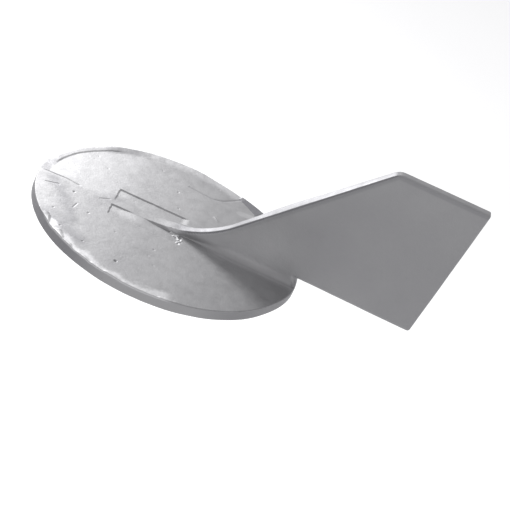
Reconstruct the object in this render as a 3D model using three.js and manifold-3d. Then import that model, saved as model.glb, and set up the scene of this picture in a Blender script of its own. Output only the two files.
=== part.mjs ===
// Trim-tab sacrificial anode for an outboard or sterndrive, with its mounting bolt run in.
//
// A single zinc casting: a round disc with a swept trim fin standing on one face and a round hub on
// the other. A threaded steel bush, held by a steel anchor plate, is cast into the hub, and the bolt
// that clamps the tab under the gearcase is shown with its spring washer and flat washer.
//
// Frame, in millimetres: origin on the bolt axis at the hub's face, +Z along the bolt axis towards
// the fin's tip, +X aft along the fin, Y square to the fin.

import * as THREE from 'three';
import { mergeVertices } from 'three/addons/utils/BufferGeometryUtils.js';
import Module from 'manifold-3d';

const wasm = await Module();
wasm.setup();

const GAP = 0.3; // clearance between pieces that touch on the real object

// Disc and hub
const DISC_RADIUS = 50;
const RIM_THICKNESS = 3.85;
const HUB_RADIUS = 25;
const HUB_HEIGHT = 5.75;
const RIM_CHAMFER = 0.5;
const HUB_CHAMFER = 1;
const DISC_SEGMENTS = 96;
const FACE_Z = HUB_HEIGHT + RIM_THICKNESS; // the disc face that carries the fin

// Fin, seen from the side: heights are above the disc face
const FIN_HEIGHT = 56.6;
const FIN_ROOT_X = 10.8; // where the straight leading edge would meet the disc face
const FIN_TIP_FRONT_X = 66;
const FIN_TIP_REAR_X = 101.2;
const FIN_HEEL_X = 95.2; // rear lower corner, aft of the disc
const FIN_HEEL_HEIGHT = 2.4;
const FIN_NOTCH_HEIGHT = 3.3; // underside of the fin where it leaves the disc's rim
const FIN_ROOT_THICKNESS = 6.4;
const FIN_TIP_THICKNESS = 4.2;
const LEADING_FILLET = 40; // the leading edge sweeps up from the disc on this large arc
const FIN_FOOT_X = -6.5; // just ahead of where that arc leaves the disc face
const TIP_FRONT_RADIUS = 1.6;
const TIP_REAR_RADIUS = 1.2;
const HEEL_RADIUS = 1.2;
const SIDE_FILLET = 2.4;
const SIDE_FILLET_START_X = 15;
const FILLET_STEPS = 8;

// Shallow rectangular pad sunk in the disc face over the anchor plate, and the low ridge that runs
// through it to the fin's foot
const PAD_LENGTH = 28;
const PAD_WIDTH = 20.2;
const PAD_FRONT_X = -21;
const PAD_DEPTH = 0.5;
const RIDGE_WIDTH = 4.4;
const RIDGE_Y = -0.8;

// Index marks on the back of the disc, for setting the tab's angle
const MARK_COUNT = 13;
const MARK_SPACING = 5; // degrees
const MARK_WIDTH = 0.8;
const MARK_DEPTH = 0.5;
const MARK_INNER_RADIUS = 42;
const LONG_MARK_INNER_RADIUS = 38;
const LONG_MARK_EVERY = 3;

// Cast-in steel
const PLATE_LENGTH = 26;
const PLATE_WIDTH = 17;
const PLATE_THICKNESS = 2.5;
const PLATE_CENTRE_X = -7;
const PLATE_BOTTOM = 4.6;
const PLATE_CORNER = 2;
const KEY_HOLE_RADIUS = 2.6;
const KEY_HOLE_X = -14;
const KEY_HOLE_Y = 4.6;
const BUSH_RADIUS = 7;
const BUSH_SPIGOT_RADIUS = 5.6;
const BUSH_CHAMFER = 0.8;

// M8 bolt and its washers, on the gearcase side of the hub
const BOLT_RADIUS = 4;
const THREAD_ENGAGEMENT = 6.5;
const BOLT_LENGTH = 16;
const HEAD_ACROSS_FLATS = 13;
const HEAD_HEIGHT = 5.3;
const HEAD_CHAMFER = 0.7;
const BOLT_TIP_CHAMFER = 0.8;
const WASHER_RADIUS = 8;
const WASHER_BORE_RADIUS = 4.3;
const FLAT_WASHER_THICKNESS = 1.6;
const SPRING_WASHER_RADIUS = 7.4;
const SPRING_WASHER_THICKNESS = 2;
const SPRING_WASHER_SPLIT = 1.2;
const SPRING_WASHER_SPLIT_ANGLE = 25; // degrees from the bolt axis
const ROUND_SEGMENTS = 48;

const HEAD_SEAT_Z = THREAD_ENGAGEMENT - BOLT_LENGTH; // under the bolt's head
const SPRING_WASHER_Z = HEAD_SEAT_Z + GAP;
const FLAT_WASHER_Z = SPRING_WASHER_Z + SPRING_WASHER_THICKNESS + GAP;
const PLATE_TOP = PLATE_BOTTOM + PLATE_THICKNESS;
const HOLLOW_TOP = PLATE_TOP + GAP;

const zinc = new THREE.MeshStandardMaterial({ color: 0xb9b9bb, roughness: 0.62, metalness: 0.75 });
const plainSteel = new THREE.MeshStandardMaterial({ color: 0x8b8d90, roughness: 0.45, metalness: 1 });
const stainless = new THREE.MeshStandardMaterial({ color: 0xc9cacc, roughness: 0.3, metalness: 1 });

// A closed three.js geometry as a manifold solid.
function solid(geometry) {
  const bare = geometry.clone();
  bare.deleteAttribute('normal');
  bare.deleteAttribute('uv');
  const merged = mergeVertices(bare, 1e-4);
  return new wasm.Manifold(new wasm.Mesh({
    numProp: 3,
    vertProperties: new Float32Array(merged.attributes.position.array),
    triVerts: new Uint32Array(merged.index.array),
  }));
}

// A manifold solid as a named mesh.
function mesh(name, body, material) {
  const result = body.getMesh();
  const geometry = new THREE.BufferGeometry();
  geometry.setAttribute('position', new THREE.BufferAttribute(result.vertProperties, 3));
  geometry.setIndex(new THREE.BufferAttribute(result.triVerts, 1));
  geometry.computeVertexNormals();
  const node = new THREE.Mesh(geometry, material);
  node.name = name;
  return node;
}

// A solid of revolution about the Z axis from [radius, z] points.
function turned(points, segments = ROUND_SEGMENTS) {
  const profile = points.map(([radius, z]) => new THREE.Vector2(radius, z));
  return solid(new THREE.LatheGeometry(profile, segments).rotateX(Math.PI / 2));
}

function cylinder(radius, bottom, top, segments = ROUND_SEGMENTS) {
  return turned([[0, bottom], [radius, bottom], [radius, top], [0, top]], segments);
}

// A tube about the Z axis whose bore is cut right through.
function ring(radius, bore, bottom, top) {
  return turned([[bore, bottom], [radius, bottom], [radius, top], [bore, top], [bore, bottom]]);
}

function box(length, width, height, x, y, z) {
  return solid(new THREE.BoxGeometry(length, width, height).translate(x, y, z));
}

// A flat plate in the XY plane with cut-off corners, standing on z = bottom.
function plate(length, width, corner, x, bottom, top) {
  const shape = new THREE.Shape();
  const halfLength = length / 2;
  const halfWidth = width / 2;
  shape.moveTo(corner - halfLength, -halfWidth);
  shape.lineTo(halfLength - corner, -halfWidth);
  shape.lineTo(halfLength, corner - halfWidth);
  shape.lineTo(halfLength, halfWidth - corner);
  shape.lineTo(halfLength - corner, halfWidth);
  shape.lineTo(corner - halfLength, halfWidth);
  shape.lineTo(-halfLength, halfWidth - corner);
  shape.lineTo(-halfLength, corner - halfWidth);
  shape.closePath();
  const geometry = new THREE.ExtrudeGeometry(shape, { depth: top - bottom, bevelEnabled: false });
  return solid(geometry.translate(x, 0, bottom));
}

// The corner points of a polyline with each corner replaced by an arc of its own radius.
function roundedOutline(corners) {
  const points = [];
  corners.forEach(({ at, radius }, i) => {
    if (!radius) {
      points.push(at);
      return;
    }
    const toBefore = corners.at(i - 1).at.clone().sub(at).normalize();
    const toAfter = corners[(i + 1) % corners.length].at.clone().sub(at).normalize();
    const halfAngle = Math.acos(toBefore.dot(toAfter)) / 2;
    const middle = toBefore.clone().add(toAfter).normalize();
    const centre = at.clone().addScaledVector(middle, radius / Math.sin(halfAngle));
    const start = at.clone().addScaledVector(toBefore, radius / Math.tan(halfAngle)).sub(centre);
    const end = at.clone().addScaledVector(toAfter, radius / Math.tan(halfAngle)).sub(centre);
    const sweep = Math.atan2(start.cross(end), start.dot(end));
    for (let step = 0; step <= FILLET_STEPS; step += 1) {
      points.push(start.clone().rotateAround(new THREE.Vector2(), (sweep * step) / FILLET_STEPS).add(centre));
    }
  });
  return points;
}

// Disc and hub in one turning.
function discBody() {
  return turned([
    [0, 0],
    [HUB_RADIUS - HUB_CHAMFER, 0],
    [HUB_RADIUS, HUB_CHAMFER],
    [HUB_RADIUS, HUB_HEIGHT],
    [DISC_RADIUS - RIM_CHAMFER, HUB_HEIGHT],
    [DISC_RADIUS, HUB_HEIGHT + RIM_CHAMFER],
    [DISC_RADIUS, FACE_Z - RIM_CHAMFER],
    [DISC_RADIUS - RIM_CHAMFER, FACE_Z],
    [0, FACE_Z],
  ], DISC_SEGMENTS);
}

// The fin: its side outline, extruded across and thinned from root to tip by its moulding draft.
function finBody() {
  const buried = -RIM_THICKNESS / 2;
  const corners = [
    { at: new THREE.Vector2(FIN_FOOT_X, buried) },
    { at: new THREE.Vector2(FIN_FOOT_X, 0) },
    { at: new THREE.Vector2(FIN_ROOT_X, 0), radius: LEADING_FILLET },
    { at: new THREE.Vector2(FIN_TIP_FRONT_X, FIN_HEIGHT), radius: TIP_FRONT_RADIUS },
    { at: new THREE.Vector2(FIN_TIP_REAR_X, FIN_HEIGHT), radius: TIP_REAR_RADIUS },
    { at: new THREE.Vector2(FIN_HEEL_X, FIN_HEEL_HEIGHT), radius: HEEL_RADIUS },
    { at: new THREE.Vector2(DISC_RADIUS - RIM_CHAMFER, FIN_NOTCH_HEIGHT) },
    { at: new THREE.Vector2(DISC_RADIUS - RIM_CHAMFER, buried) },
  ];
  const outline = new THREE.Shape(roundedOutline(corners));
  const geometry = new THREE.ExtrudeGeometry(outline, { depth: 1, bevelEnabled: false });
  geometry.translate(0, 0, -0.5).rotateX(Math.PI / 2);
  const position = geometry.attributes.position;
  for (let i = 0; i < position.count; i += 1) {
    const height = position.getZ(i);
    const thickness = THREE.MathUtils.lerp(FIN_ROOT_THICKNESS, FIN_TIP_THICKNESS, height / FIN_HEIGHT);
    position.setY(i, position.getY(i) * thickness);
  }
  return solid(geometry.translate(0, 0, FACE_Z));
}

// Concave fillets where the fin's two sides meet the disc face.
function sideFillets() {
  const foot = FIN_ROOT_THICKNESS / 2 + SIDE_FILLET;
  const shape = new THREE.Shape();
  shape.moveTo(-foot, -1);
  shape.lineTo(foot, -1);
  shape.lineTo(foot, 0);
  shape.absarc(foot, SIDE_FILLET, SIDE_FILLET, -Math.PI / 2, -Math.PI, true);
  shape.lineTo(SIDE_FILLET - foot, SIDE_FILLET);
  shape.absarc(-foot, SIDE_FILLET, SIDE_FILLET, 0, -Math.PI / 2, true);
  const length = DISC_RADIUS - SIDE_FILLET_START_X;
  const options = { depth: length, bevelEnabled: false, curveSegments: FILLET_STEPS };
  const geometry = new THREE.ExtrudeGeometry(shape, options);
  geometry.rotateX(Math.PI / 2).rotateZ(Math.PI / 2).translate(SIDE_FILLET_START_X, 0, FACE_Z);
  const disc = cylinder(DISC_RADIUS - RIM_CHAMFER, 0, FACE_Z + SIDE_FILLET, DISC_SEGMENTS);
  return solid(geometry).intersect(disc);
}

// One radial index groove in the back of the disc, turned to its place on the rim.
function indexMark(number) {
  const fromMiddle = number - (MARK_COUNT - 1) / 2;
  const inner = fromMiddle % LONG_MARK_EVERY === 0 ? LONG_MARK_INNER_RADIUS : MARK_INNER_RADIUS;
  const outer = DISC_RADIUS + 1;
  const groove = new THREE.BoxGeometry(outer - inner, MARK_WIDTH, 2 * MARK_DEPTH);
  groove.translate(-(outer + inner) / 2, 0, HUB_HEIGHT);
  groove.rotateZ(THREE.MathUtils.degToRad(fromMiddle * MARK_SPACING));
  return solid(groove);
}

// The hollow that the cast-in bush and anchor plate fill, with the zinc that keys through the plate.
function insertHollow() {
  const bushWell = cylinder(BUSH_RADIUS + GAP, -1, PLATE_BOTTOM);
  const pocket = plate(PLATE_LENGTH + 2 * GAP, PLATE_WIDTH + 2 * GAP, PLATE_CORNER, PLATE_CENTRE_X,
    PLATE_BOTTOM - GAP, HOLLOW_TOP);
  let keys = null;
  for (const side of [-1, 1]) {
    const key = cylinder(KEY_HOLE_RADIUS - GAP, 0, FACE_Z - 1, 24).translate([KEY_HOLE_X, side * KEY_HOLE_Y, 0]);
    keys = keys ? keys.add(key) : key;
  }
  return bushWell.add(pocket).subtract(keys);
}

// What the sunk pad takes out of the disc face, leaving its ridge.
function padCut() {
  const middle = PAD_FRONT_X + PAD_LENGTH / 2;
  const pad = box(PAD_LENGTH, PAD_WIDTH, 2 * PAD_DEPTH, middle, 0, FACE_Z);
  return pad.subtract(box(2 * PAD_LENGTH, RIDGE_WIDTH, FACE_Z, middle, RIDGE_Y, FACE_Z));
}

function castingBody() {
  let body = discBody().subtract(padCut()).add(finBody()).add(sideFillets());
  for (let number = 0; number < MARK_COUNT; number += 1) {
    body = body.subtract(indexMark(number));
  }
  return body.subtract(insertHollow());
}

// Bush: a flanged collar below the plate, with a spigot through the plate's hole.
function bushBody() {
  const bore = BOLT_RADIUS + GAP;
  return turned([
    [bore + BUSH_CHAMFER, 0],
    [BUSH_RADIUS, 0],
    [BUSH_RADIUS, PLATE_BOTTOM - GAP],
    [BUSH_SPIGOT_RADIUS, PLATE_BOTTOM - GAP],
    [BUSH_SPIGOT_RADIUS, PLATE_TOP],
    [bore, PLATE_TOP],
    [bore, BUSH_CHAMFER],
    [bore + BUSH_CHAMFER, 0],
  ]);
}

function anchorPlateBody() {
  let body = plate(PLATE_LENGTH, PLATE_WIDTH, PLATE_CORNER, PLATE_CENTRE_X, PLATE_BOTTOM, PLATE_TOP);
  body = body.subtract(cylinder(BUSH_SPIGOT_RADIUS + GAP, 0, FACE_Z));
  for (const side of [-1, 1]) {
    const hole = cylinder(KEY_HOLE_RADIUS, 0, FACE_Z, 24);
    body = body.subtract(hole.translate([KEY_HOLE_X, side * KEY_HOLE_Y, 0]));
  }
  return body;
}

// Hexagon-head bolt, head down, with the head's outer corners turned off.
function boltBody() {
  const cornerRadius = HEAD_ACROSS_FLATS / Math.sqrt(3);
  const flatRadius = HEAD_ACROSS_FLATS / 2;
  const bottom = HEAD_SEAT_Z - HEAD_HEIGHT;
  const hexagon = cylinder(cornerRadius, bottom, HEAD_SEAT_Z, 6);
  const cone = turned([
    [0, bottom],
    [flatRadius - HEAD_CHAMFER / 2, bottom],
    [cornerRadius, bottom + HEAD_CHAMFER],
    [cornerRadius, HEAD_SEAT_Z + 1],
    [0, HEAD_SEAT_Z + 1],
  ]);
  const shank = turned([
    [0, bottom + 1],
    [BOLT_RADIUS, bottom + 1],
    [BOLT_RADIUS, THREAD_ENGAGEMENT - BOLT_TIP_CHAMFER],
    [BOLT_RADIUS - BOLT_TIP_CHAMFER, THREAD_ENGAGEMENT],
    [0, THREAD_ENGAGEMENT],
  ]);
  return hexagon.intersect(cone).add(shank);
}

// Split spring washer, closed flat, with its cut across the ring at a slant.
function springWasherBody() {
  const top = SPRING_WASHER_Z + SPRING_WASHER_THICKNESS;
  const middle = (SPRING_WASHER_Z + top) / 2;
  const split = new THREE.BoxGeometry(SPRING_WASHER_RADIUS, SPRING_WASHER_SPLIT, 4 * SPRING_WASHER_THICKNESS);
  split.rotateX(THREE.MathUtils.degToRad(SPRING_WASHER_SPLIT_ANGLE));
  split.translate(SPRING_WASHER_RADIUS / 2 + 1, 0, middle);
  const whole = ring(SPRING_WASHER_RADIUS, WASHER_BORE_RADIUS, SPRING_WASHER_Z, top);
  return whole.subtract(solid(split));
}

function flatWasherBody() {
  return ring(WASHER_RADIUS, WASHER_BORE_RADIUS, FLAT_WASHER_Z, FLAT_WASHER_Z + FLAT_WASHER_THICKNESS);
}

const group = new THREE.Group();
group.add(mesh('anode_casting', castingBody(), zinc));
group.add(mesh('threaded_bush', bushBody(), plainSteel));
group.add(mesh('anchor_plate', anchorPlateBody(), plainSteel));
group.add(mesh('mounting_bolt', boltBody(), stainless));
group.add(mesh('spring_washer', springWasherBody(), stainless));
group.add(mesh('flat_washer', flatWasherBody(), stainless));

export default group;
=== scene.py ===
"""Trim-tab sacrificial anode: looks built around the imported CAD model.

Lengths are in metres, as in the frame, unless a name or comment says millimetres.
The casting is modelled in millimetres as a distance field, meshed, given its relief and scaled.
"""

import math

import bmesh
import bpy
import numpy as np
from mathutils import Matrix, Vector


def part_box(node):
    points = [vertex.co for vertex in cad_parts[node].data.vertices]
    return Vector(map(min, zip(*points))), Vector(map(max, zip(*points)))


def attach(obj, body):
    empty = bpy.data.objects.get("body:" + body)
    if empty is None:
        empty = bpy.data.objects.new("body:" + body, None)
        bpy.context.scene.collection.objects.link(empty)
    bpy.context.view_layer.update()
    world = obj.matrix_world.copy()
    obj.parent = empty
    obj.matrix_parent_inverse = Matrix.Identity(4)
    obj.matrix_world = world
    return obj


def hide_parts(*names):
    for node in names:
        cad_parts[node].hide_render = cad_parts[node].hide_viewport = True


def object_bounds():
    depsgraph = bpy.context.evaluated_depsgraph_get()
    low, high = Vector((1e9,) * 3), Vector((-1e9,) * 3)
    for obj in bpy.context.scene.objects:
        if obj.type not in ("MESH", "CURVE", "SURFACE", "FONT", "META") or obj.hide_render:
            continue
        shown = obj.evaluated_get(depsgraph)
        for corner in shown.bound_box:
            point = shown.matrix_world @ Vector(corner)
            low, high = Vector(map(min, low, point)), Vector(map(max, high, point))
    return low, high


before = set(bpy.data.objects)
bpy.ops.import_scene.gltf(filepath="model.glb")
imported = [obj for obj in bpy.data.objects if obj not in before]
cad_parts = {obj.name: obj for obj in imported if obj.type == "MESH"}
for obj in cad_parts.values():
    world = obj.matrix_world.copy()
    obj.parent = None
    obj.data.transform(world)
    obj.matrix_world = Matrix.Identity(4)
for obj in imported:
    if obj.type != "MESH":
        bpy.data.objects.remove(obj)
cad_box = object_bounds()

MM = 0.001
TURN = 2 * math.pi


def box_mm(node):
    """Lowest and highest corners of a CAD node, in millimetres."""
    low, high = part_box(node)
    return np.array(low) / MM, np.array(high) / MM


casting_low, casting_high = box_mm("anode_casting")
plate_low, plate_high = box_mm("anchor_plate")
bush_low, bush_high = box_mm("threaded_bush")
bolt_low, bolt_high = box_mm("mounting_bolt")
spring_low, spring_high = box_mm("spring_washer")
washer_low, washer_high = box_mm("flat_washer")

# Casting, millimetres; the fin's heights are above the disc face, and its tip corner is rounded back
DISC_RADIUS = casting_high[1]
HUB_HEIGHT = 5.75
RIM_THICKNESS = 3.85
FACE_Z = HUB_HEIGHT + RIM_THICKNESS
HUB_RADIUS = 25.0
HUB_EDGE = 1.0
HUB_BLEND = 1.2
RIM_EDGE = 0.2
FIN_HEIGHT = casting_high[2] - FACE_Z
FIN_ROOT_X = 10.8
FIN_TIP_FRONT_X = 66.0
TIP_CORNER_LOSS = 0.15
FIN_TIP_REAR_X = casting_high[0] + TIP_CORNER_LOSS
FIN_HEEL_X = 95.2
FIN_HEEL_HEIGHT = 2.4
FIN_NOTCH_HEIGHT = 3.3
FIN_ROOT_HALF = 3.2
FIN_TIP_HALF = 2.1
FIN_EDGE = 0.9
TIP_FRONT_ROUND = 1.6
TIP_REAR_ROUND = 1.0
LEADING_FILLET = 40.0
CLEARANCE = 0.3
KEY_HOLE_X = -14.0
KEY_HOLE_Y = 4.6
KEY_HOLE_RADIUS = 2.6

# The fillet along the fin's foot is sharp in front and grows over this stretch of X
FRONT_FILLET = 0.08
SIDE_FILLET = 3.3
FILLET_GROWTH = (6, 26)

# The rim swells out below the fin: by how much, and where it grows along X and fades across Y
ROOT_SWELL = 1.35
SWELL_GROWTH = (20, 40)
SWELL_FADE = (3, 25)

# The far side of the fin's root is worn rounder: over these ranges of Y, height and X
FAR_ROOT_ROUND = 4.5
FAR_ROOT_ACROSS = (-1.5, 2)
FAR_ROOT_GROWTH = (0.5, 3)
FAR_ROOT_FADE = (8, 26)
FAR_ROOT_REAR = (42, 50)

# Mesh of the casting, millimetres
GRID_STEP = 0.4
BLOCK_MARGIN = 6.0
SETTLE_STEP = 0.02

# Sunk pad and the low ridge that runs through it to the fin's root, millimetres
PAD_FRONT = -21.0
PAD_REAR = 6.6
PAD_HALF_WIDTH = 10.1
PAD_DEPTH = 0.38
NEAR_REAR_RUN = 0.4
FAR_REAR_RUN = 2.6
RIDGE_MIDDLE = -0.8
RIDGE_HALF = 2.2
RIDGE_SLOPE = 0.012
RIDGE_FADE = 3.0
WORN_SPOT = (-10.5, -4.5)
WORN_RADIUS = 8.0
WORN_DEPTH = 0.05

# Mould line from the rim towards the pad
PARTING_FROM = -47.5
PARTING_TO = -35.0
PARTING_DEPTH = 0.16
PARTING_STEP = 0.05
PARTING_STEP_SPAN = (-46, -38)

# Where two streams of metal met in the mould, as a faint line to the gate; its dark tone is painted shade
# of a small step there
FLOW_LINE = [(1.5, 35.0), (7.0, 34.2), (11.5, 33.7), (15.5, 35.6), (21.2, 42.4)]
FLOW_DEPTH = 0.14

# Single marks on the disc face: start, end, half width, height (negative is cut in)
FACE_MARKS = [
    ((-45.5, -7.7), (-41.0, -5.6), 0.45, -0.14),
    ((-25.7, -2.9), (-22.5, -0.6), 0.5, -0.12),
    ((-31.8, -13.2), (-32.4, -17.0), 0.35, -0.12),
    ((14.7, 20.6), (16.4, 18.4), 0.5, 0.15),
]

# Casting pits: the three that stand out as x, y, radius and depth, and a scatter of smaller ones
LARGE_PITS = [(-10.5, -38.9, 0.8, 0.6), (-34.9, -6.4, 0.7, 0.3), (-1.5, 27.0, 0.6, 0.25)]
SMALL_PIT_COUNT = 18
SMALL_PIT_SEED = 3

# Ragged burrs at the rear wall of the pad's near half: start and end
BURRS = [
    ((2.4, -3.9), (5.3, -4.2)),
    ((4.6, -5.0), (6.0, -6.9)),
    ((5.9, -8.9), (7.0, -7.2)),
    ((3.6, -5.3), (4.5, -5.6)),
]
BURR_WIDTH = 0.6
BURR_HEIGHT = 0.5

# What stands up round the rim: sectors in degrees from the fin, slopes and heights
NEAR_LIP = (-150, -76)
NEAR_LIP_SLOPE = 0.16
FAR_LIP = (88, 128)
FAR_LIP_RADIUS = 45.6
FAR_LIP_SLOPE = 0.10
LEDGE = (129, 166)
LEDGE_RISE = 0.22
LEDGE_RISE_RADII = (46.3, 47.2)
LEDGE_DROP = 0.25
LEDGE_DROP_RADII = (48.6, 50)
GATE = (51, 64)
GATE_RADIUS = 45.6
GATE_SKEW = 0.15
GATE_SLOPE = 0.2

# Darker strokes on the disc face, the first two a band of painted shade near the front: start, end, half
# width, strength
DARK_STROKES = [
    ((-43, -3), (-31, -25), 5.5, 0.42),
    ((-38, -27), (-26, -36), 6.5, 0.40),
    ((-25, -4), (-21, 1), 6.0, 0.25),
]

# Brighter strokes: beyond the flow line, and where the pad's near half is rubbed
BRIGHT_PATCH = ((23.5, 32.2), (28.0, 32.8))
RUBBED_PAD = ((-19, -5), (-5, -6.5))

# Sectors where the rim is darker or brighter, degrees from the fin; the darker front and rear sectors of
# the rim's side are painted shade
DARK_RIM = (165, 179)
DULL_RIM = (118, 132)
# The near rim's top is filed bright and also painted brighter as the highlight where its lip catches the
# light
BRIGHT_NEAR_RIM = (-138, -80)
BRIGHT_FAR_RIM = (67, 108)
DARK_FRONT_SIDE = (-180, -125)
DARK_REAR_SIDE = (-45, 0)

# Unevenness of the whole cast skin: feature size, height, seed
SKIN_WAVES = [(17.0, 0.09, 31), (6.5, 0.04, 32), (2.2, 0.012, 33)]

# Index marks on the back, as in the CAD model
MARK_COUNT = 13
MARK_SPACING = 5.0
MARK_WIDTH = 0.8
MARK_DEPTH = 0.45
MARK_INNER_RADIUS = 42.0
LONG_MARK_INNER_RADIUS = 38.0
LONG_MARK_EVERY = 3

# Turned pieces and the spring washer, millimetres; the sharp angle is in degrees
AROUND = 96
TURNS = np.arange(AROUND) * TURN / AROUND
SHARP_ANGLE = 35
PITCH = 1.25
THREAD_STEP = 0.09
BOLT_CREST = 3.95
BOLT_TIP_RADIUS = 2.9
BOLT_THREAD_DEPTH = 0.67
BUSH_BORE = 4.3
BUSH_SPIGOT = 5.6
BUSH_THREAD_DEPTH = 0.45
KNURL_COUNT = 32
KNURL_DEPTH = 0.28
FLAT_WASHER_BORE = 4.3
SPRING_WASHER_BORE = 4.35
SPRING_OPENING = math.radians(7)
SPRING_RISE = 0.15
SPRING_SLANT = 0.08
SPRING_ROUND = 0.22

# Colours, linear
ZINC_DARK = (0.348, 0.347, 0.355)
ZINC_LIGHT = (0.372, 0.371, 0.377)
# The next two colours: stains with painted shade, then bright metal with painted light
ZINC_STAIN_AND_SHADE = (0.118, 0.117, 0.131, 1)
ZINC_BRIGHT = (0.80, 0.80, 0.81, 1)
STAINLESS = (0.60, 0.60, 0.61)
INSERT_STEEL = (0.36, 0.355, 0.35)
WORLD_COLOUR = (0.985, 0.982, 1, 1)

# Floor and light: metres, and brightness with white as 1
FLOOR_SIZE = 6.0
FLOOR_DROP = 0.13
FLOOR_GLOW = 0.32
WORLD_STRENGTH = 0.68
LIGHT_AIM = (0.01, 0.0, 0.01)

# Camera: metres, radians, and millimetres for the lens and sensor
CAMERA_AIM = (0.0333, 0.0, 0.0131)
CAMERA_DISTANCE = 0.5592
CAMERA_AZIMUTH = math.radians(3.1)
CAMERA_ELEVATION = math.radians(27.94)
CAMERA_ROLL = math.radians(25.9)
CAMERA_LENS = 109.4
SENSOR = 36.0


# ---------------------------------------------------------------- shaping helpers


def smooth_max(a, b, width):
    """The larger of two distances, rounded where they meet."""
    overlap = np.clip(width - np.abs(a - b), 0, None) / width
    return np.maximum(a, b) + overlap**2 * width / 4


def smooth_min(a, b, width):
    """The smaller of two distances, rounded where they meet."""
    return -smooth_max(-a, -b, width)


def step_up(value, start, end):
    """0 before start, 1 after end, smooth between."""
    t = np.clip((value - start) / (end - start), 0, 1)
    return t * t * (3 - 2 * t)


def bump_at(value, middle, half_width):
    """1 at the middle, falling smoothly to 0 at half_width on either side."""
    return 1 - step_up(np.abs(value - middle), 0, half_width)


def lattice_values(cells, seed):
    """A fixed pseudo-random value from -1 to 1 for each integer lattice point."""
    mixed = cells[..., 0] * 374761393 + cells[..., 1] * 668265263 + cells[..., 2] * 2147483647
    mixed = (mixed + seed * 974634777) & 0xFFFFFFFF
    mixed = ((mixed ^ (mixed >> 13)) * 1274126177) & 0xFFFFFFFF
    mixed = (mixed ^ (mixed >> 16)) & 0xFFFFFFFF
    return mixed / 0x7FFFFFFF - 1


def noise(points, cell, seed):
    """Smooth value noise from -1 to 1 at points (N, 3), with features about one cell wide."""
    scaled = points / cell
    base = np.floor(scaled).astype(np.int64)
    part = scaled - base
    part = part * part * (3 - 2 * part)
    total = np.zeros(len(points))
    for corner in np.ndindex(2, 2, 2):
        weight = np.ones(len(points))
        for axis in range(3):
            weight *= part[:, axis] if corner[axis] else 1 - part[:, axis]
        total += weight * lattice_values(base + np.array(corner), seed)
    return total


def flat_noise(x, y, cell, seed):
    """The same noise over the XY plane."""
    return noise(np.stack([x, y, np.zeros_like(x)], axis=1), cell, seed)


# ---------------------------------------------------------------- casting: distance field


def turned_distance(radius, z, outer, low, high, edge):
    """Distance to a round slab with rounded edges."""
    side = radius - (outer - edge)
    flat = np.abs(z - (low + high) / 2) - ((high - low) / 2 - edge)
    outside = np.hypot(np.maximum(side, 0), np.maximum(flat, 0))
    return outside + np.minimum(np.maximum(side, flat), 0) - edge


def box_distance(x, y, z, middle, half):
    """Distance to a box, sharp at its edges."""
    spans = [np.abs(p - m) - h for p, m, h in zip((x, y, z), middle, half)]
    return np.maximum(np.maximum(spans[0], spans[1]), spans[2])


def beyond_line(x, z, start, end):
    """Signed distance from the line start-end, positive to its left."""
    dx, dz = end[0] - start[0], end[1] - start[1]
    return (dx * (z - start[1]) - dz * (x - start[0])) / math.hypot(dx, dz)


def leading_edge_distance(x, height):
    """Positive in front of the fin: a straight sweep that runs into the disc on a large arc."""
    run = FIN_TIP_FRONT_X - FIN_ROOT_X
    slope = math.atan2(FIN_HEIGHT, run)
    arc_x = FIN_ROOT_X - LEADING_FILLET * math.tan(slope / 2)
    along = (x - arc_x) * math.cos(slope) + (height - LEADING_FILLET) * math.sin(slope)
    straight = beyond_line(x, height, (FIN_ROOT_X, 0), (FIN_TIP_FRONT_X, FIN_HEIGHT))
    arc = LEADING_FILLET - np.hypot(x - arc_x, height - LEADING_FILLET)
    before = np.maximum(height, (arc_x - x) / 2)
    return np.where(x < arc_x, before, np.where(along > 0, straight, arc))


def fin_distance(x, y, z):
    """Signed distance to the fin: its outline from the side, and its tapering thickness."""
    height = z - FACE_Z
    lead = leading_edge_distance(x, height)
    tip = height - FIN_HEIGHT
    trail = beyond_line(x, height, (FIN_TIP_REAR_X, FIN_HEIGHT), (FIN_HEEL_X, FIN_HEEL_HEIGHT))
    sole = beyond_line(x, height, (FIN_HEEL_X, FIN_HEEL_HEIGHT), (DISC_RADIUS, FIN_NOTCH_HEIGHT))
    outline = smooth_max(lead, tip, TIP_FRONT_ROUND)
    outline = smooth_max(outline, trail, TIP_REAR_ROUND)
    over_disc = np.maximum(x - (DISC_RADIUS - 1), -height - RIM_THICKNESS / 2)
    outline = smooth_max(outline, np.minimum(sole, over_disc), TIP_REAR_ROUND)
    half = FIN_ROOT_HALF + (FIN_TIP_HALF - FIN_ROOT_HALF) * height / FIN_HEIGHT
    far_root = step_up(y, *FAR_ROOT_ACROSS) * step_up(height, *FAR_ROOT_GROWTH)
    far_root = far_root * (1 - step_up(height, *FAR_ROOT_FADE)) * (1 - step_up(x, *FAR_ROOT_REAR))
    return smooth_max(outline, np.abs(y) - half, FIN_EDGE + FAR_ROOT_ROUND * far_root)


def hollow_distance(x, y, z):
    """The space in the hub for the bush and the anchor plate, less the keys through the plate."""
    radius = np.hypot(x, y)
    bush_radius = bush_high[0] + CLEARANCE
    well = np.maximum(radius - bush_radius, z - plate_low[2])
    middle = (plate_low + plate_high) / 2
    half = (plate_high - plate_low) / 2 + CLEARANCE
    pocket = box_distance(x, y, z, middle, half)
    for side in (-1, 1):
        key = np.hypot(x - KEY_HOLE_X, y - KEY_HOLE_Y * side) - (KEY_HOLE_RADIUS - CLEARANCE)
        pocket = np.maximum(pocket, -key)
    return np.minimum(well, pocket)


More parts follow.
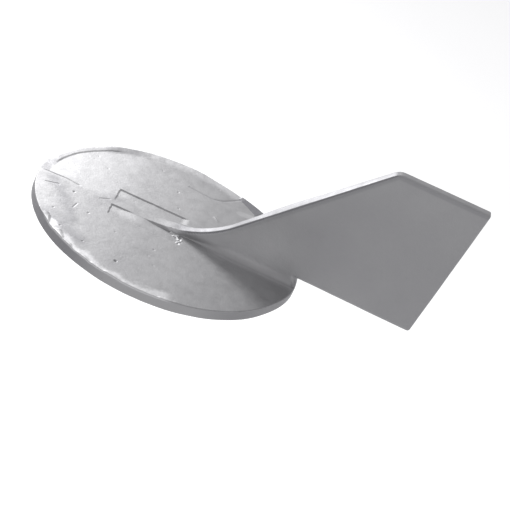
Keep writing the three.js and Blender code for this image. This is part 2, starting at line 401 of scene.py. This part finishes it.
def casting_distance(x, y, z):
    """Signed distance to the whole casting, negative inside."""
    radius = np.hypot(x, y)
    swell = ROOT_SWELL * (1 - step_up(np.abs(y), *SWELL_FADE)) * step_up(x, *SWELL_GROWTH)
    disc = turned_distance(radius - swell, z, DISC_RADIUS, HUB_HEIGHT, FACE_Z, RIM_EDGE)
    hub = turned_distance(radius, z, HUB_RADIUS, 0, FACE_Z - 1, HUB_EDGE)
    body = smooth_min(disc, hub, HUB_BLEND)
    fillet = FRONT_FILLET + (SIDE_FILLET - FRONT_FILLET) * step_up(x, *FILLET_GROWTH)
    body = smooth_min(body, fin_distance(x, y, z), fillet)
    return np.maximum(body, -hollow_distance(x, y, z))


def casting_field():
    """The distance field on a grid, filled in only near the disc and near the fin."""
    low = casting_low - 3 * GRID_STEP
    counts = np.ceil((casting_high - casting_low) / GRID_STEP).astype(int) + 7
    axes = [low[i] + GRID_STEP * np.arange(counts[i]) for i in range(3)]
    field = np.full(counts, 10.0, dtype=np.float32)
    disc_top = int((FACE_Z + BLOCK_MARGIN - low[2]) / GRID_STEP)
    fin_rows = np.flatnonzero(np.abs(axes[1]) < BLOCK_MARGIN)
    blocks = [
        (slice(None), slice(None), slice(0, disc_top)),
        (slice(None), slice(fin_rows[0], fin_rows[-1] + 1), slice(disc_top, None)),
    ]
    for block in blocks:
        x, y, z = np.meshgrid(*[a[s] for a, s in zip(axes, block)], indexing="ij", sparse=True)
        field[block] = casting_distance(x, y, z)
    return field, low


def surface_net(field, low, step):
    """Vertices and quads of the zero surface of a distance field, facing out."""
    inside = field < 0
    cells = tuple(n - 1 for n in field.shape)
    corners = list(np.ndindex(2, 2, 2))
    filled = np.zeros(cells, dtype=np.uint8)
    for a, b, c in corners:
        filled += inside[a : a + cells[0], b : b + cells[1], c : c + cells[2]]
    crossed = np.argwhere((filled > 0) & (filled < 8))
    number = np.full(cells, -1, dtype=np.int32)
    number[tuple(crossed.T)] = np.arange(len(crossed))
    total = np.zeros((len(crossed), 3))
    count = np.zeros((len(crossed), 1))
    for first in corners:
        for axis in range(3):
            if first[axis]:
                continue
            second = tuple(1 if i == axis else v for i, v in enumerate(first))
            f0 = field[tuple((crossed + first).T)].astype(float)
            f1 = field[tuple((crossed + second).T)].astype(float)
            hit = (f0 < 0) != (f1 < 0)
            place = np.tile(np.array(first, float), (len(crossed), 1))
            place[:, axis] += np.where(hit, f0 / np.where(hit, f0 - f1, 1), 0)
            total += place * hit[:, None]
            count += hit[:, None]
    vertices = low + step * (crossed + total / count)
    quads = []
    for axis in range(3):
        u, v = (axis + 1) % 3, (axis + 2) % 3
        ahead = np.roll(inside, -1, axis=axis)
        edges = np.argwhere(inside != ahead)
        span = np.array(field.shape) - 1
        keep = (edges[:, axis] < span[axis]) & (edges[:, u] > 0) & (edges[:, v] > 0)
        edges = edges[keep & (edges[:, u] < span[u]) & (edges[:, v] < span[v])]
        ring = []
        for du, dv in ((1, 1), (0, 1), (0, 0), (1, 0)):
            cell = edges.copy()
            cell[:, u] -= du
            cell[:, v] -= dv
            ring.append(number[tuple(cell.T)])
        ring = np.stack(ring, axis=1)
        solid_first = inside[tuple(edges.T)]
        quads.append(np.where(solid_first[:, None], ring, ring[:, ::-1]))
    return vertices, np.concatenate(quads)


# ---------------------------------------------------------------- casting: relief


def polar(x, y):
    """Radius, and angle in degrees from the fin's direction."""
    return np.hypot(x, y), np.degrees(np.arctan2(y, x))


def between(value, low, high, soft):
    """1 inside low..high, falling to 0 over soft outside them."""
    return step_up(value, low - soft, low) * (1 - step_up(value, high, high + soft))


def line_near(x, y, start, end, half_width):
    """1 on the stroke from start to end, falling to 0 at half_width from it."""
    dx, dy = end[0] - start[0], end[1] - start[1]
    length = math.hypot(dx, dy)
    along = ((x - start[0]) * dx + (y - start[1]) * dy) / length
    across = ((y - start[1]) * dx - (x - start[0]) * dy) / length
    past = np.maximum(np.maximum(-along, along - length), 0)
    return 1 - step_up(np.hypot(across, past), 0, half_width)


def stroke(x, y, points, half_width):
    """1 on a broken line through the points, falling to 0 at half_width from it."""
    parts = [line_near(x, y, start, end, half_width) for start, end in zip(points, points[1:])]
    return np.max(parts, axis=0)


def pad_relief(x, y):
    """The sunk pad, in two halves with a low ridge between: heights above the disc face."""
    wobble = 0.12 * flat_noise(x, y, 1.6, 5)
    rear_wobble = 0.9 * flat_noise(x, y, 1.3, 6)
    inside = step_up(x + wobble, PAD_FRONT - 0.1, PAD_FRONT + 0.2)
    rear_run = np.where(y < 0, NEAR_REAR_RUN, FAR_REAR_RUN)
    inside = inside * (1 - step_up(x + rear_wobble * (y < 0), PAD_REAR - rear_run, PAD_REAR + 0.4))
    inside = inside * (1 - step_up(y + wobble, PAD_HALF_WIDTH - 0.15, PAD_HALF_WIDTH + 0.1))
    inside = inside * step_up(y + wobble, -PAD_HALF_WIDTH - 0.5, -PAD_HALF_WIDTH + 0.6)
    worn = bump_at(np.hypot(x - WORN_SPOT[0], y - WORN_SPOT[1]), 0, WORN_RADIUS)
    floor = -PAD_DEPTH * (1 - worn) - WORN_DEPTH * worn
    top = RIDGE_SLOPE * (x - PAD_FRONT) * (1 - worn) - WORN_DEPTH * worn
    near_edge = RIDGE_MIDDLE - RIDGE_HALF
    ridge = step_up(y + 0.5 * wobble, near_edge - 0.15, near_edge + 0.15)
    ridge = ridge * (1 - step_up(y, RIDGE_MIDDLE + 0.5, RIDGE_MIDDLE + RIDGE_HALF + RIDGE_FADE))
    return inside * (floor + (top - floor) * ridge)


def gate_inner_radius(angle):
    """Where the stub of the gate starts, further in towards the fin."""
    return GATE_RADIUS + GATE_SKEW * (angle - GATE[0])


def rim_relief(x, y):
    """Raised burrs, steps and the broken-off gate round the disc's top edge."""
    radius, angle = polar(x, y)
    ragged = flat_noise(x, y, 3.5, 11) + 0.5 * flat_noise(x, y, 1.4, 12)
    near_lip = between(angle, *NEAR_LIP, 9) * step_up(flat_noise(x, y, 11.0, 13), -0.7, 0.3)
    near_width = np.clip(1.7 + 1.6 * ragged, 0.3, None)
    lift = near_lip * np.clip(radius - (DISC_RADIUS - near_width), 0, 2) * NEAR_LIP_SLOPE
    far_lip = between(angle, *FAR_LIP, 12)
    lift += far_lip * np.clip(radius - FAR_LIP_RADIUS - 0.5 * ragged, 0, None) * FAR_LIP_SLOPE
    ledge = between(angle, *LEDGE, 5)
    lift += ledge * LEDGE_RISE * step_up(radius + 0.15 * ragged, *LEDGE_RISE_RADII)
    lift -= ledge * LEDGE_DROP * step_up(radius, *LEDGE_DROP_RADII)
    gate = between(angle, *GATE, 1.0)
    lift += gate * np.clip(radius - gate_inner_radius(angle), 0, None) * GATE_SLOPE
    return lift


def burrs(x, y):
    """1 on the ragged burrs at the rear wall of the pad's near half."""
    ragged = 0.85 + 0.3 * flat_noise(x, y, 0.8, 14)
    return ragged * np.max([line_near(x, y, start, end, BURR_WIDTH) for start, end in BURRS], axis=0)


def face_relief(x, y):
    """All marks on the disc face that carries the fin."""
    relief = pad_relief(x, y) + rim_relief(x, y)
    path = 0.5 * flat_noise(x, y, 5.0, 21) * step_up(-x, 22, 30)
    parting = bump_at(y + path, 0, 0.45) * between(x, PARTING_FROM, PARTING_TO, 1.5)
    relief -= PARTING_DEPTH * parting
    relief += PARTING_STEP * step_up(y + path, -0.4, 0.4) * between(x, *PARTING_STEP_SPAN, 4)
    relief -= FLOW_DEPTH * stroke(x, y, FLOW_LINE, 0.7)
    for start, end, half_width, height in FACE_MARKS:
        relief += height * line_near(x, y, start, end, half_width)
    for px, py, size, deep in PITS:
        relief -= deep * bump_at(np.hypot(x - px, y - py), 0, size)
    return relief + BURR_HEIGHT * burrs(x, y)


def scattered_pits(count, seed):
    """Small casting pits spread over the disc: x, y, radius, depth."""
    random = np.random.default_rng(seed)
    pits = []
    for _ in range(count):
        reach = DISC_RADIUS * 0.94 * math.sqrt(random.uniform(0.02, 1))
        turn = random.uniform(0, TURN)
        size = random.uniform(0.35, 0.7)
        deep = random.uniform(0.06, 0.2)
        pits.append((reach * math.cos(turn), reach * math.sin(turn), size, deep))
    return pits


PITS = LARGE_PITS + scattered_pits(SMALL_PIT_COUNT, SMALL_PIT_SEED)


def back_relief(x, y):
    """Index marks cut in the back of the disc."""
    radius, angle = polar(-x, -y)
    relief = np.zeros_like(x)
    for number in range(MARK_COUNT):
        from_middle = number - (MARK_COUNT - 1) // 2
        inner = LONG_MARK_INNER_RADIUS if from_middle % LONG_MARK_EVERY == 0 else MARK_INNER_RADIUS
        across = np.abs(np.radians(angle - from_middle * MARK_SPACING) * radius)
        groove = 1 - step_up(across, MARK_WIDTH * 0.25, MARK_WIDTH * 0.65)
        relief += MARK_DEPTH * groove * step_up(radius, inner - 0.3, inner + 0.3)
    return relief


def cast_surface(points):
    """Gentle unevenness of the whole cast skin."""
    return sum(height * noise(points, cell, seed) for cell, height, seed in SKIN_WAVES)


# ---------------------------------------------------------------- casting: mesh


def refine(mesh, choose):
    """Splits once the faces whose centres (in millimetres) the test picks."""
    work = bmesh.new()
    work.from_mesh(mesh)
    work.faces.ensure_lookup_table()
    centres = np.array([face.calc_center_median()[:] for face in work.faces])
    picked = choose(centres)
    edges = set()
    for number in np.flatnonzero(picked):
        edges.update(work.faces[number].edges)
    bmesh.ops.subdivide_edges(work, edges=list(edges), cuts=1, use_grid_fill=True)
    work.to_mesh(mesh)
    work.free()


def fine_region(centres):
    """The face as far back as the pad, both edges of the rim, and the index marks on the back."""
    x, y, z = centres.T
    radius = np.hypot(x, y)
    face = (np.abs(z - FACE_Z) < 0.4) & (x < PAD_REAR + 4)
    rim = (z > FACE_Z - 0.9) & (z < FACE_Z + 0.4) & (radius > 44.5) & (x < 46)
    rim |= (z < HUB_HEIGHT + 0.6) & (radius > 49.4)
    marks = (z < HUB_HEIGHT + 0.3) & (x < -30) & (radius > 36.5) & (np.abs(y) < 27)
    return face | rim | marks


def settle(points):
    """Draws points onto the zero surface, so that a coarse grid doesn't blunt its edges."""
    for _ in range(2):
        distance = casting_distance(*points.T)
        slope = np.empty_like(points)
        for axis, nudge in enumerate(np.eye(3) * SETTLE_STEP):
            slope[:, axis] = (casting_distance(*(points + nudge).T) - distance) / SETTLE_STEP
        steep = np.maximum((slope**2).sum(axis=1), 0.3)
        points = points - slope * (distance / steep)[:, None]
    return points


def casting_mesh():
    """The casting, meshed from its distance field, with its relief and paint."""
    field, low = casting_field()
    vertices, quads = surface_net(field, low, GRID_STEP)
    mesh = bpy.data.meshes.new("cast_anode")
    mesh.from_pydata(vertices.tolist(), [], quads.tolist())
    refine(mesh, fine_region)
    count = len(mesh.vertices)
    points = np.empty(count * 3)
    mesh.vertices.foreach_get("co", points)
    points = settle(points.reshape(-1, 3))
    mesh.vertices.foreach_set("co", points.ravel())
    mesh.update()
    normals = np.empty(count * 3)
    mesh.vertex_normals.foreach_get("vector", normals)
    normals = normals.reshape(-1, 3)
    x, y, z = points.T
    hidden = hollow_distance(x, y, z) < 0.25
    on_face = step_up(z, FACE_Z - 2.2, FACE_Z - 0.5) * (1 - step_up(z, FACE_Z + 0.5, FACE_Z + 1.6))
    on_back = (np.abs(z - HUB_HEIGHT) < 0.3) & (normals[:, 2] < -0.7)
    relief = np.where(on_face > 0, face_relief(x, y), 0)
    lift = on_face * relief + on_back * back_relief(x, y)
    moved = points + normals * (cast_surface(points) * ~hidden)[:, None]
    moved[:, 2] += lift * ~hidden
    mesh.vertices.foreach_set("co", (moved * MM).ravel())
    paint(mesh, x, y, z)
    mesh.shade_smooth()
    mesh.update()
    return mesh


# ---------------------------------------------------------------- casting: paint


def face_tones(x, y):
    """How much darker and lighter than plain cast zinc the skin of the disc's face is; some of it is
    painted shade and painted highlight.
    """
    radius, angle = polar(x, y)
    blotch = flat_noise(x, y, 4.0, 41)
    speckle = 0.35 * flat_noise(x, y, 2.1, 42) + 0.65 * flat_noise(x, y, 0.8, 43)
    dark = 0.3 * between(angle, *DARK_RIM, 5) * step_up(radius + speckle, 45.5, 47.5)
    for start, end, half_width, strength in DARK_STROKES:
        dark += strength * line_near(x, y, start, end, half_width)
    dark *= 0.85 + 0.4 * blotch
    dark += 0.2 * between(angle, *DULL_RIM, 5) * step_up(radius + speckle, 44.5, 46.5)
    # Painted shade on the slope of the gate's stub
    dark += 0.75 * between(angle, *GATE, 0.8) * (radius > gate_inner_radius(angle))
    # Painted shade along the flow line, standing in for the shaded wall of its small step
    dark += 0.25 * stroke(x, y, FLOW_LINE, 0.9)
    # Painted highlight on the far front part of the face
    light = 0.15 * step_up(y, -3, 3) * (1 - step_up(x + 3 * blotch, -23, -15)) * (radius < 46.5)
    near_rim = step_up(radius + 2.2 * blotch + speckle, 45.8, 48.8)
    # Painted highlight on the near rim's lip, over its filed bright edge
    light += 0.45 * between(angle, *BRIGHT_NEAR_RIM, 6) * near_rim
    light += 0.3 * between(angle, *BRIGHT_FAR_RIM, 6) * step_up(radius + speckle, 44, 48)
    light += 0.16 * step_up(line_near(x, y, *BRIGHT_PATCH, 3.0), 0.2, 0.6)
    # A broad painted highlight over the far middle of the face
    light += 0.05 * between(x, -16, 6, 8) * between(y, 6, 36, 8)
    light += 0.12 * line_near(x, y, *RUBBED_PAD, 4.0)
    light += 0.7 * burrs(x, y)
    worked = 1 - step_up(x + 6 * blotch, -12, 12)
    dark += 0.08 * worked * np.clip(speckle, 0, 1)
    light += 0.07 * worked * np.clip(-speckle, 0, 1)
    return dark, light


def fin_tones(x, y, z):
    """The same for the fin and the disc at its foot.

    It is darker on its front and along its edges and aft; painted light lifts the shade low down near its
    root, on the disc beside its foot and on the near flank of its foot.
    """
    height = z - FACE_Z
    lead = leading_edge_distance(x, height)
    inset = -np.maximum(lead, height - FIN_HEIGHT)
    edge = between(inset, 0.5, 1.5, 0.7) * step_up(np.abs(y), 1.6, 2.2) * (height > 2)
    front = between(inset, -2, 0.4, 0.3) * step_up(height, 0.2, 1.5) * (lead > height - FIN_HEIGHT)
    aft = step_up(x, 32, 52) * step_up(inset, 0.2, 1) * (1 - 0.4 * step_up(height, 30, 56))
    aft = aft * step_up(height, 0.5, 2)
    # Painted light, lifting the shade low down on the fin
    low = (1 - step_up(height, 0, 24)) * step_up(height, 0.8, 3.2) * (1 - step_up(x, 32, 54))
    # Painted light, lifting the fin's shadow on the disc beside its foot
    floor = (1 - step_up(np.abs(y), 4, 9)) * step_up(x, 12, 24)
    floor = floor * (1 - step_up(height, 0.02, 0.3)) * (height > -0.5)
    # Painted light, lifting the shade on the near flank of the fin's foot
    foot = between(y, -5, -2.8, 0.4) * between(x, -6, 3, 5) * step_up(height, 0.1, 0.4)
    dark = 0.2 * edge + 0.2 * aft + (0.45 + 0.05 * (height < 14)) * front
    light = 0.55 * low * (1 - front) + 0.3 * floor + 0.5 * foot
    return dark, light


def paint(mesh, x, y, z):
    """Stores where the skin is darker or lighter than plain cast zinc, stains and painted shade and light
    alike, for the material.
    """
    radius, angle = polar(x, y)
    on_top = step_up(z, FACE_Z - 0.9, FACE_Z - 0.3) * (1 - step_up(z, FACE_Z + 1.0, FACE_Z + 2.5))
    on_side = step_up(radius, 49.0, 49.7) * (1 - step_up(z, FACE_Z - 0.5, FACE_Z - 0.2))
    dark, light = face_tones(x, y)
    fin_dark, fin_light = fin_tones(x, y, z)
    # Painted shade on the rim's side, at the front and towards the fin
    side_dark = 0.55 * between(angle, *DARK_FRONT_SIDE, 25) + 0.4 * between(angle, *DARK_REAR_SIDE, 25)
    for name, values in (
        ("stain_and_shade", dark * on_top + fin_dark + side_dark * on_side),
        ("bright", light * on_top + fin_light),
    ):
        layer = mesh.attributes.new(name, "FLOAT", "POINT")
        layer.data.foreach_set("value", np.clip(values, 0, 1).astype(np.float32))


# ---------------------------------------------------------------- turned pieces


def ring_stack(name, rings, closed_loop=False):
    """A mesh from rings of points, each (AROUND, 3) in millimetres; capped, or joined end to end."""
    points = np.concatenate(rings)
    size = len(rings[0])
    faces = []
    for level in range(len(rings) if closed_loop else len(rings) - 1):
        here = level * size
        there = ((level + 1) % len(rings)) * size
        for i in range(size):
            j = (i + 1) % size
            faces.append((here + i, here + j, there + j, there + i))
    if not closed_loop:
        faces.append(tuple(reversed(range(size))))
        faces.append(tuple(range((len(rings) - 1) * size, len(rings) * size)))
    mesh = bpy.data.meshes.new(name)
    mesh.from_pydata((points * MM).tolist(), [], faces)
    mesh.shade_smooth()
    mesh.set_sharp_from_angle(angle=math.radians(SHARP_ANGLE))
    mesh.update()
    piece = bpy.data.objects.new(name, mesh)
    bpy.context.scene.collection.objects.link(piece)
    return piece


def turned(name, profile, closed_loop=False):
    """A turned piece from a profile of (radius, z); a radius may be one value for each turn."""
    rings = []
    for radius, z in profile:
        radius = np.broadcast_to(radius, TURNS.shape)
        height = np.broadcast_to(z, TURNS.shape)
        rings.append(np.stack([radius * np.cos(TURNS), radius * np.sin(TURNS), height], axis=1))
    return ring_stack(name, rings, closed_loop)


def thread_radius(crest, z, depth):
    """Radius of a right-hand 60 degree thread, with its crest and root flattened."""
    phase = (z / PITCH - TURNS / TURN) % 1.0
    ramp = np.abs(phase * 2 - 1)
    return crest - depth * np.clip((1 - ramp) * 1.35 - 0.12, 0, 1)


def make_bolt():
    """A hexagon-head bolt, from its dished head up through the thread to its chamfered tip."""
    seat = spring_low[2] - CLEARANCE
    bottom = bolt_low[2]
    tip = bolt_high[2]
    flats = bolt_high[0]
    corner = flats * 2 / math.sqrt(3)
    hexagon = flats / np.cos((TURNS + math.pi / 6) % (math.pi / 3) - math.pi / 6)
    profile = [
        (flats * 0.3, bottom + 0.25),
        (flats * 0.62, bottom + 0.22),
        (flats * 0.68, bottom),
        (flats * 0.93, bottom),
    ]
    for part in np.linspace(0.0, 1.0, 9):
        cone = flats * 0.94 + (corner - flats * 0.94) * part
        profile.append((np.minimum(hexagon - 0.12 * (1 - part) ** 2, cone), bottom + 0.05 + 0.95 * part))
    profile += [
        (hexagon, seat - 0.9),
        (np.minimum(hexagon, corner - 0.25), seat - 0.35),
        (flats * 0.97, seat - 0.3),
        (flats * 0.95, seat),
        (BOLT_CREST + 0.35, seat),
        (BOLT_CREST, seat + 0.3),
    ]
    start = seat + 2.0
    for z in np.arange(start, tip - 0.02, THREAD_STEP):
        run_in = min(1.0, (z - start) / 1.2)
        point = min(1.0, (tip - z) / 0.9)
        threaded = thread_radius(BOLT_CREST, z, BOLT_THREAD_DEPTH * run_in)
        profile.append((np.minimum(threaded, 3.1 + 0.85 * point), z))
    profile.append((BOLT_TIP_RADIUS, tip))
    return turned("bolt_m8", profile)


def make_bush():
    """A bush with a knurled body and a spigot that enters the anchor plate, threaded inside."""
    outer = bush_high[0]
    low, high = bush_low[2], bush_high[2]
    shoulder = plate_low[2] - CLEARANCE
    knurl = outer - KNURL_DEPTH * (0.5 + 0.5 * np.cos(TURNS * KNURL_COUNT))
    profile = [
        (outer - 0.35, low),
        (outer - 0.05, low + 0.3),
        (outer, low + 0.9),
        (knurl, low + 1.2),
        (knurl, shoulder - 0.5),
        (outer - 0.2, shoulder - 0.2),
        (outer - 0.5, shoulder),
        (BUSH_SPIGOT, shoulder),
        (BUSH_SPIGOT, high - 0.3),
        (BUSH_SPIGOT - 0.3, high),
        (BUSH_BORE + 0.5, high),
    ]
    for z in np.arange(high - 0.3, low + 0.75, -THREAD_STEP):
        profile.append((2 * BUSH_BORE - thread_radius(BUSH_BORE, z, BUSH_THREAD_DEPTH), z))
    profile.append((BUSH_BORE + 0.35, low + 0.5))
    profile.append((BUSH_BORE + 0.85, low))
    return turned("cast_in_bush", profile, closed_loop=True)


def make_flat_washer():
    """A stamped washer, rounder on its upper outer edge."""
    low, high = washer_low[2], washer_high[2]
    outer, bore = washer_high[0], FLAT_WASHER_BORE
    profile = [
        (outer - 0.12, low),
        (outer, low + 0.12),
        (outer, high - 0.35),
        (outer - 0.1, high - 0.12),
        (outer - 0.4, high),
        (bore + 0.1, high),
        (bore, high - 0.1),
        (bore, low + 0.3),
        (bore + 0.1, low + 0.08),
        (bore + 0.3, low),
    ]
    return turned("plain_washer", profile, closed_loop=True)


def make_spring_washer():
    """A coil of a little under one turn, its cut ends slanted and standing slightly apart."""
    low, high = spring_low[2], spring_high[2]
    half_width = (spring_high[0] - SPRING_WASHER_BORE) / 2
    half_thick = (high - low) / 2 - SPRING_RISE
    middle = (spring_high[0] + SPRING_WASHER_BORE) / 2
    section = []
    for corner in range(4):
        cx = (half_width - SPRING_ROUND) * (1 if corner in (0, 3) else -1)
        cz = (half_thick - SPRING_ROUND) * (1 if corner in (0, 1) else -1)
        for step in range(4):
            turn = (corner + step / 3) * math.pi / 2
            section.append((cx + SPRING_ROUND * math.cos(turn), cz + SPRING_ROUND * math.sin(turn)))
    across, along = np.array(section).T
    rings = []
    for part in np.linspace(0, 1, AROUND):
        turn = SPRING_OPENING + (TURN - 2 * SPRING_OPENING) * part
        turn = turn + SPRING_SLANT * along / half_thick
        radius = middle + across
        z = (low + high) / 2 + SPRING_RISE * (2 * part - 1) + along
        rings.append(np.stack([radius * np.cos(turn), radius * np.sin(turn), z], axis=1))
    return ring_stack("split_washer", rings)


# ---------------------------------------------------------------- materials


def new_material(name):
    """A material with its node tree and its main shader."""
    material = bpy.data.materials.new(name)
    material.use_nodes = True
    tree = material.node_tree
    return material, tree, tree.nodes["Principled BSDF"]


def link(tree, source, target):
    tree.links.new(source, target)


def noise_node(tree, coordinates, scale, detail=4.0, roughness=0.55):
    """The grey output of a noise texture."""
    node = tree.nodes.new("ShaderNodeTexNoise")
    node.inputs["Scale"].default_value = scale
    node.inputs["Detail"].default_value = detail
    node.inputs["Roughness"].default_value = roughness
    link(tree, coordinates, node.inputs["Vector"])
    return node.outputs["Fac"]


def ramp(tree, value, stops):
    """A colour ramp from (position, grey or colour) stops."""
    node = tree.nodes.new("ShaderNodeValToRGB")
    elements = node.color_ramp.elements
    while len(elements) < len(stops):
        elements.new(0.5)
    for element, (position, colour) in zip(elements, stops):
        element.position = position
        element.color = (*colour, 1) if isinstance(colour, tuple) else (colour, colour, colour, 1)
    link(tree, value, node.inputs["Fac"])
    return node.outputs["Color"]


def mix(tree, kind, factor, first, second):
    """Mixes two colours; factor, first and second are sockets or plain values."""
    node = tree.nodes.new("ShaderNodeMix")
    node.data_type = "RGBA"
    node.blend_type = kind
    for socket, value in ((node.inputs[0], factor), (node.inputs[6], first), (node.inputs[7], second)):
        if isinstance(value, bpy.types.NodeSocket):
            link(tree, value, socket)
        else:
            socket.default_value = value
    return node.outputs[2]


def bump(tree, height, distance, strength, before=None):
    """A normal bumped by a height socket, on top of an earlier bump if there is one."""
    node = tree.nodes.new("ShaderNodeBump")
    node.inputs["Distance"].default_value = distance
    node.inputs["Strength"].default_value = strength
    link(tree, height, node.inputs["Height"])
    if before is not None:
        link(tree, before, node.inputs["Normal"])
    return node.outputs["Normal"]


def attribute(tree, name):
    """A value stored on the mesh's points."""
    node = tree.nodes.new("ShaderNodeAttribute")
    node.attribute_name = name
    return node.outputs["Fac"]


def cast_zinc():
    """Dull grey cast zinc, clouded and grainy, with stains, bright spots, painted shade and painted
    highlights on it.
    """
    material, tree, shader = new_material("cast_zinc")
    place = tree.nodes.new("ShaderNodeTexCoord").outputs["Object"]
    clouds = noise_node(tree, place, 45, 5)
    mottle = noise_node(tree, place, 220, 6, 0.6)
    grain = noise_node(tree, place, 1500, 3, 0.6)
    colour = ramp(tree, clouds, [(0.3, ZINC_DARK), (0.7, ZINC_LIGHT)])
    spots = ramp(tree, mottle, [(0.35, 0.93), (0.6, 1.0)])
    colour = mix(tree, "MULTIPLY", 1.0, colour, spots)
    colour = mix(tree, "MIX", attribute(tree, "stain_and_shade"), colour, ZINC_STAIN_AND_SHADE)
    colour = mix(tree, "MIX", attribute(tree, "bright"), colour, ZINC_BRIGHT)
    link(tree, colour, shader.inputs["Base Color"])
    shader.inputs["Metallic"].default_value = 0.75
    rough = ramp(tree, mottle, [(0.3, 0.50), (0.7, 0.62)])
    link(tree, rough, shader.inputs["Roughness"])
    normal = bump(tree, mottle, 0.0005, 0.25)
    normal = bump(tree, grain, 0.00015, 0.30, normal)
    link(tree, normal, shader.inputs["Normal"])
    return material


def turned_steel(name, colour, roughness, grain_scale):
    """Machined steel with fine rings from the lathe and slight staining."""
    material, tree, shader = new_material(name)
    place = tree.nodes.new("ShaderNodeTexCoord").outputs["Object"]
    patches = noise_node(tree, place, 260, 4)
    dark = tuple(c * 0.8 for c in colour)
    link(tree, ramp(tree, patches, [(0.3, dark), (0.65, colour)]), shader.inputs["Base Color"])
    shader.inputs["Metallic"].default_value = 1.0
    stretched = tree.nodes.new("ShaderNodeMapping")
    stretched.inputs["Scale"].default_value = (0.15, 0.15, 1.0)
    link(tree, place, stretched.inputs["Vector"])
    lines = noise_node(tree, stretched.outputs["Vector"], grain_scale, 3, 0.6)
    link(tree, ramp(tree, lines, [(0.3, roughness), (0.7, roughness + 0.16)]), shader.inputs["Roughness"])
    link(tree, bump(tree, lines, 0.00005, 0.25), shader.inputs["Normal"])
    return material


def floor_paint():
    """Nearly white matt paint that glows a little, so that the floor stays bright."""
    material, tree, shader = new_material("studio_floor")
    place = tree.nodes.new("ShaderNodeTexCoord").outputs["Object"]
    faint = noise_node(tree, place, 3, 2)
    link(tree, ramp(tree, faint, [(0.3, 0.86), (0.7, 0.88)]), shader.inputs["Base Color"])
    shader.inputs["Roughness"].default_value = 0.9
    shader.inputs["Specular IOR Level"].default_value = 0.1
    shader.inputs["Emission Color"].default_value = (1, 1, 1, 1)
    shader.inputs["Emission Strength"].default_value = FLOOR_GLOW
    return material


def dress(piece, material, body, slot, *nodes):
    """Gives a new piece its material and body, and hides the CAD nodes that it stands for; the slot is
    not used.
    """
    piece.data.materials.clear()
    piece.data.materials.append(material)
    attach(piece, body)
    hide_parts(*nodes)


# ---------------------------------------------------------------- the object

zinc = cast_zinc()
stainless = turned_steel("stainless_steel", STAINLESS, 0.24, 2600)
plain_steel = turned_steel("insert_steel", INSERT_STEEL, 0.38, 1800)

casting = bpy.data.objects.new("cast_anode", casting_mesh())
bpy.context.scene.collection.objects.link(casting)
dress(casting, zinc, "tab", "cast_zinc", "anode_casting")

dress(make_bush(), plain_steel, "tab", "insert_steel", "threaded_bush")
dress(make_bolt(), stainless, "bolt", "stainless_steel", "mounting_bolt")
dress(make_spring_washer(), stainless, "lock_washer", "stainless_steel", "spring_washer")
dress(make_flat_washer(), stainless, "clamp_washer", "stainless_steel", "flat_washer")

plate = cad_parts["anchor_plate"]
plate.data.materials.clear()
plate.data.materials.append(plain_steel)
edge = plate.modifiers.new("broken_edges", "BEVEL")
edge.width = 0.25 * MM
edge.segments = 2
edge.angle_limit = math.radians(40)


# ---------------------------------------------------------------- floor, light, camera


def make_floor():
    """A pale floor, a little below the object."""
    mesh = bpy.data.meshes.new("floor")
    half = FLOOR_SIZE / 2
    level = cad_box[0][2] - FLOOR_DROP
    corners = [(-half, -half, level), (half, -half, level), (half, half, level), (-half, half, level)]
    mesh.from_pydata(corners, [], [(0, 1, 2, 3)])
    floor = bpy.data.objects.new("floor", mesh)
    floor.data.materials.append(floor_paint())
    bpy.context.scene.collection.objects.link(floor)


def soft_light(name, bearing, height_angle, distance, size, power):
    """A square softbox aimed at the disc; the bearing is from straight behind, to the right."""
    level = math.cos(math.radians(height_angle))
    side = math.sin(math.radians(bearing)) * level
    back = math.cos(math.radians(bearing)) * level
    outward = Vector((side, back, math.sin(math.radians(height_angle))))
    data = bpy.data.lights.new(name, "AREA")
    data.shape = "SQUARE"
    data.size = size
    data.energy = power
    light = bpy.data.objects.new(name, data)
    light.location = Vector(LIGHT_AIM) + outward * distance
    light.rotation_euler = outward.to_track_quat("Z", "Y").to_euler()
    bpy.context.scene.collection.objects.link(light)


def make_lights():
    """Two softboxes behind the disc on the left, and an even pale surrounding."""
    soft_light("near_softbox", bearing=-32, height_angle=28.5, distance=0.27, size=0.08, power=0.46)
    soft_light("far_softbox", bearing=-37, height_angle=22, distance=0.8, size=0.25, power=2.0)
    world = bpy.data.worlds.new("studio")
    world.use_nodes = True
    background = world.node_tree.nodes["Background"]
    background.inputs["Color"].default_value = WORLD_COLOUR
    background.inputs["Strength"].default_value = WORLD_STRENGTH
    bpy.context.scene.world = world


def make_camera():
    """A long lens that looks down on the disc, rolled so that the fin points to the lower right."""
    data = bpy.data.cameras.new("camera")
    data.lens = CAMERA_LENS
    data.sensor_width = SENSOR
    data.clip_start = 0.01
    data.clip_end = 20
    camera = bpy.data.objects.new("camera", data)
    level = math.cos(CAMERA_ELEVATION)
    east = math.sin(CAMERA_AZIMUTH) * level
    north = math.cos(CAMERA_AZIMUTH) * level
    forward = Vector((east, north, -math.sin(CAMERA_ELEVATION)))
    facing = forward.to_track_quat("-Z", "Y").to_matrix().to_4x4()
    roll = Matrix.Rotation(CAMERA_ROLL, 4, "Z")
    spot = Vector(CAMERA_AIM) - forward * CAMERA_DISTANCE
    camera.matrix_world = Matrix.Translation(spot) @ facing @ roll
    bpy.context.scene.collection.objects.link(camera)
    bpy.context.scene.camera = camera


make_floor()
make_lights()
make_camera()
bpy.context.scene.view_settings.view_transform = "Standard"
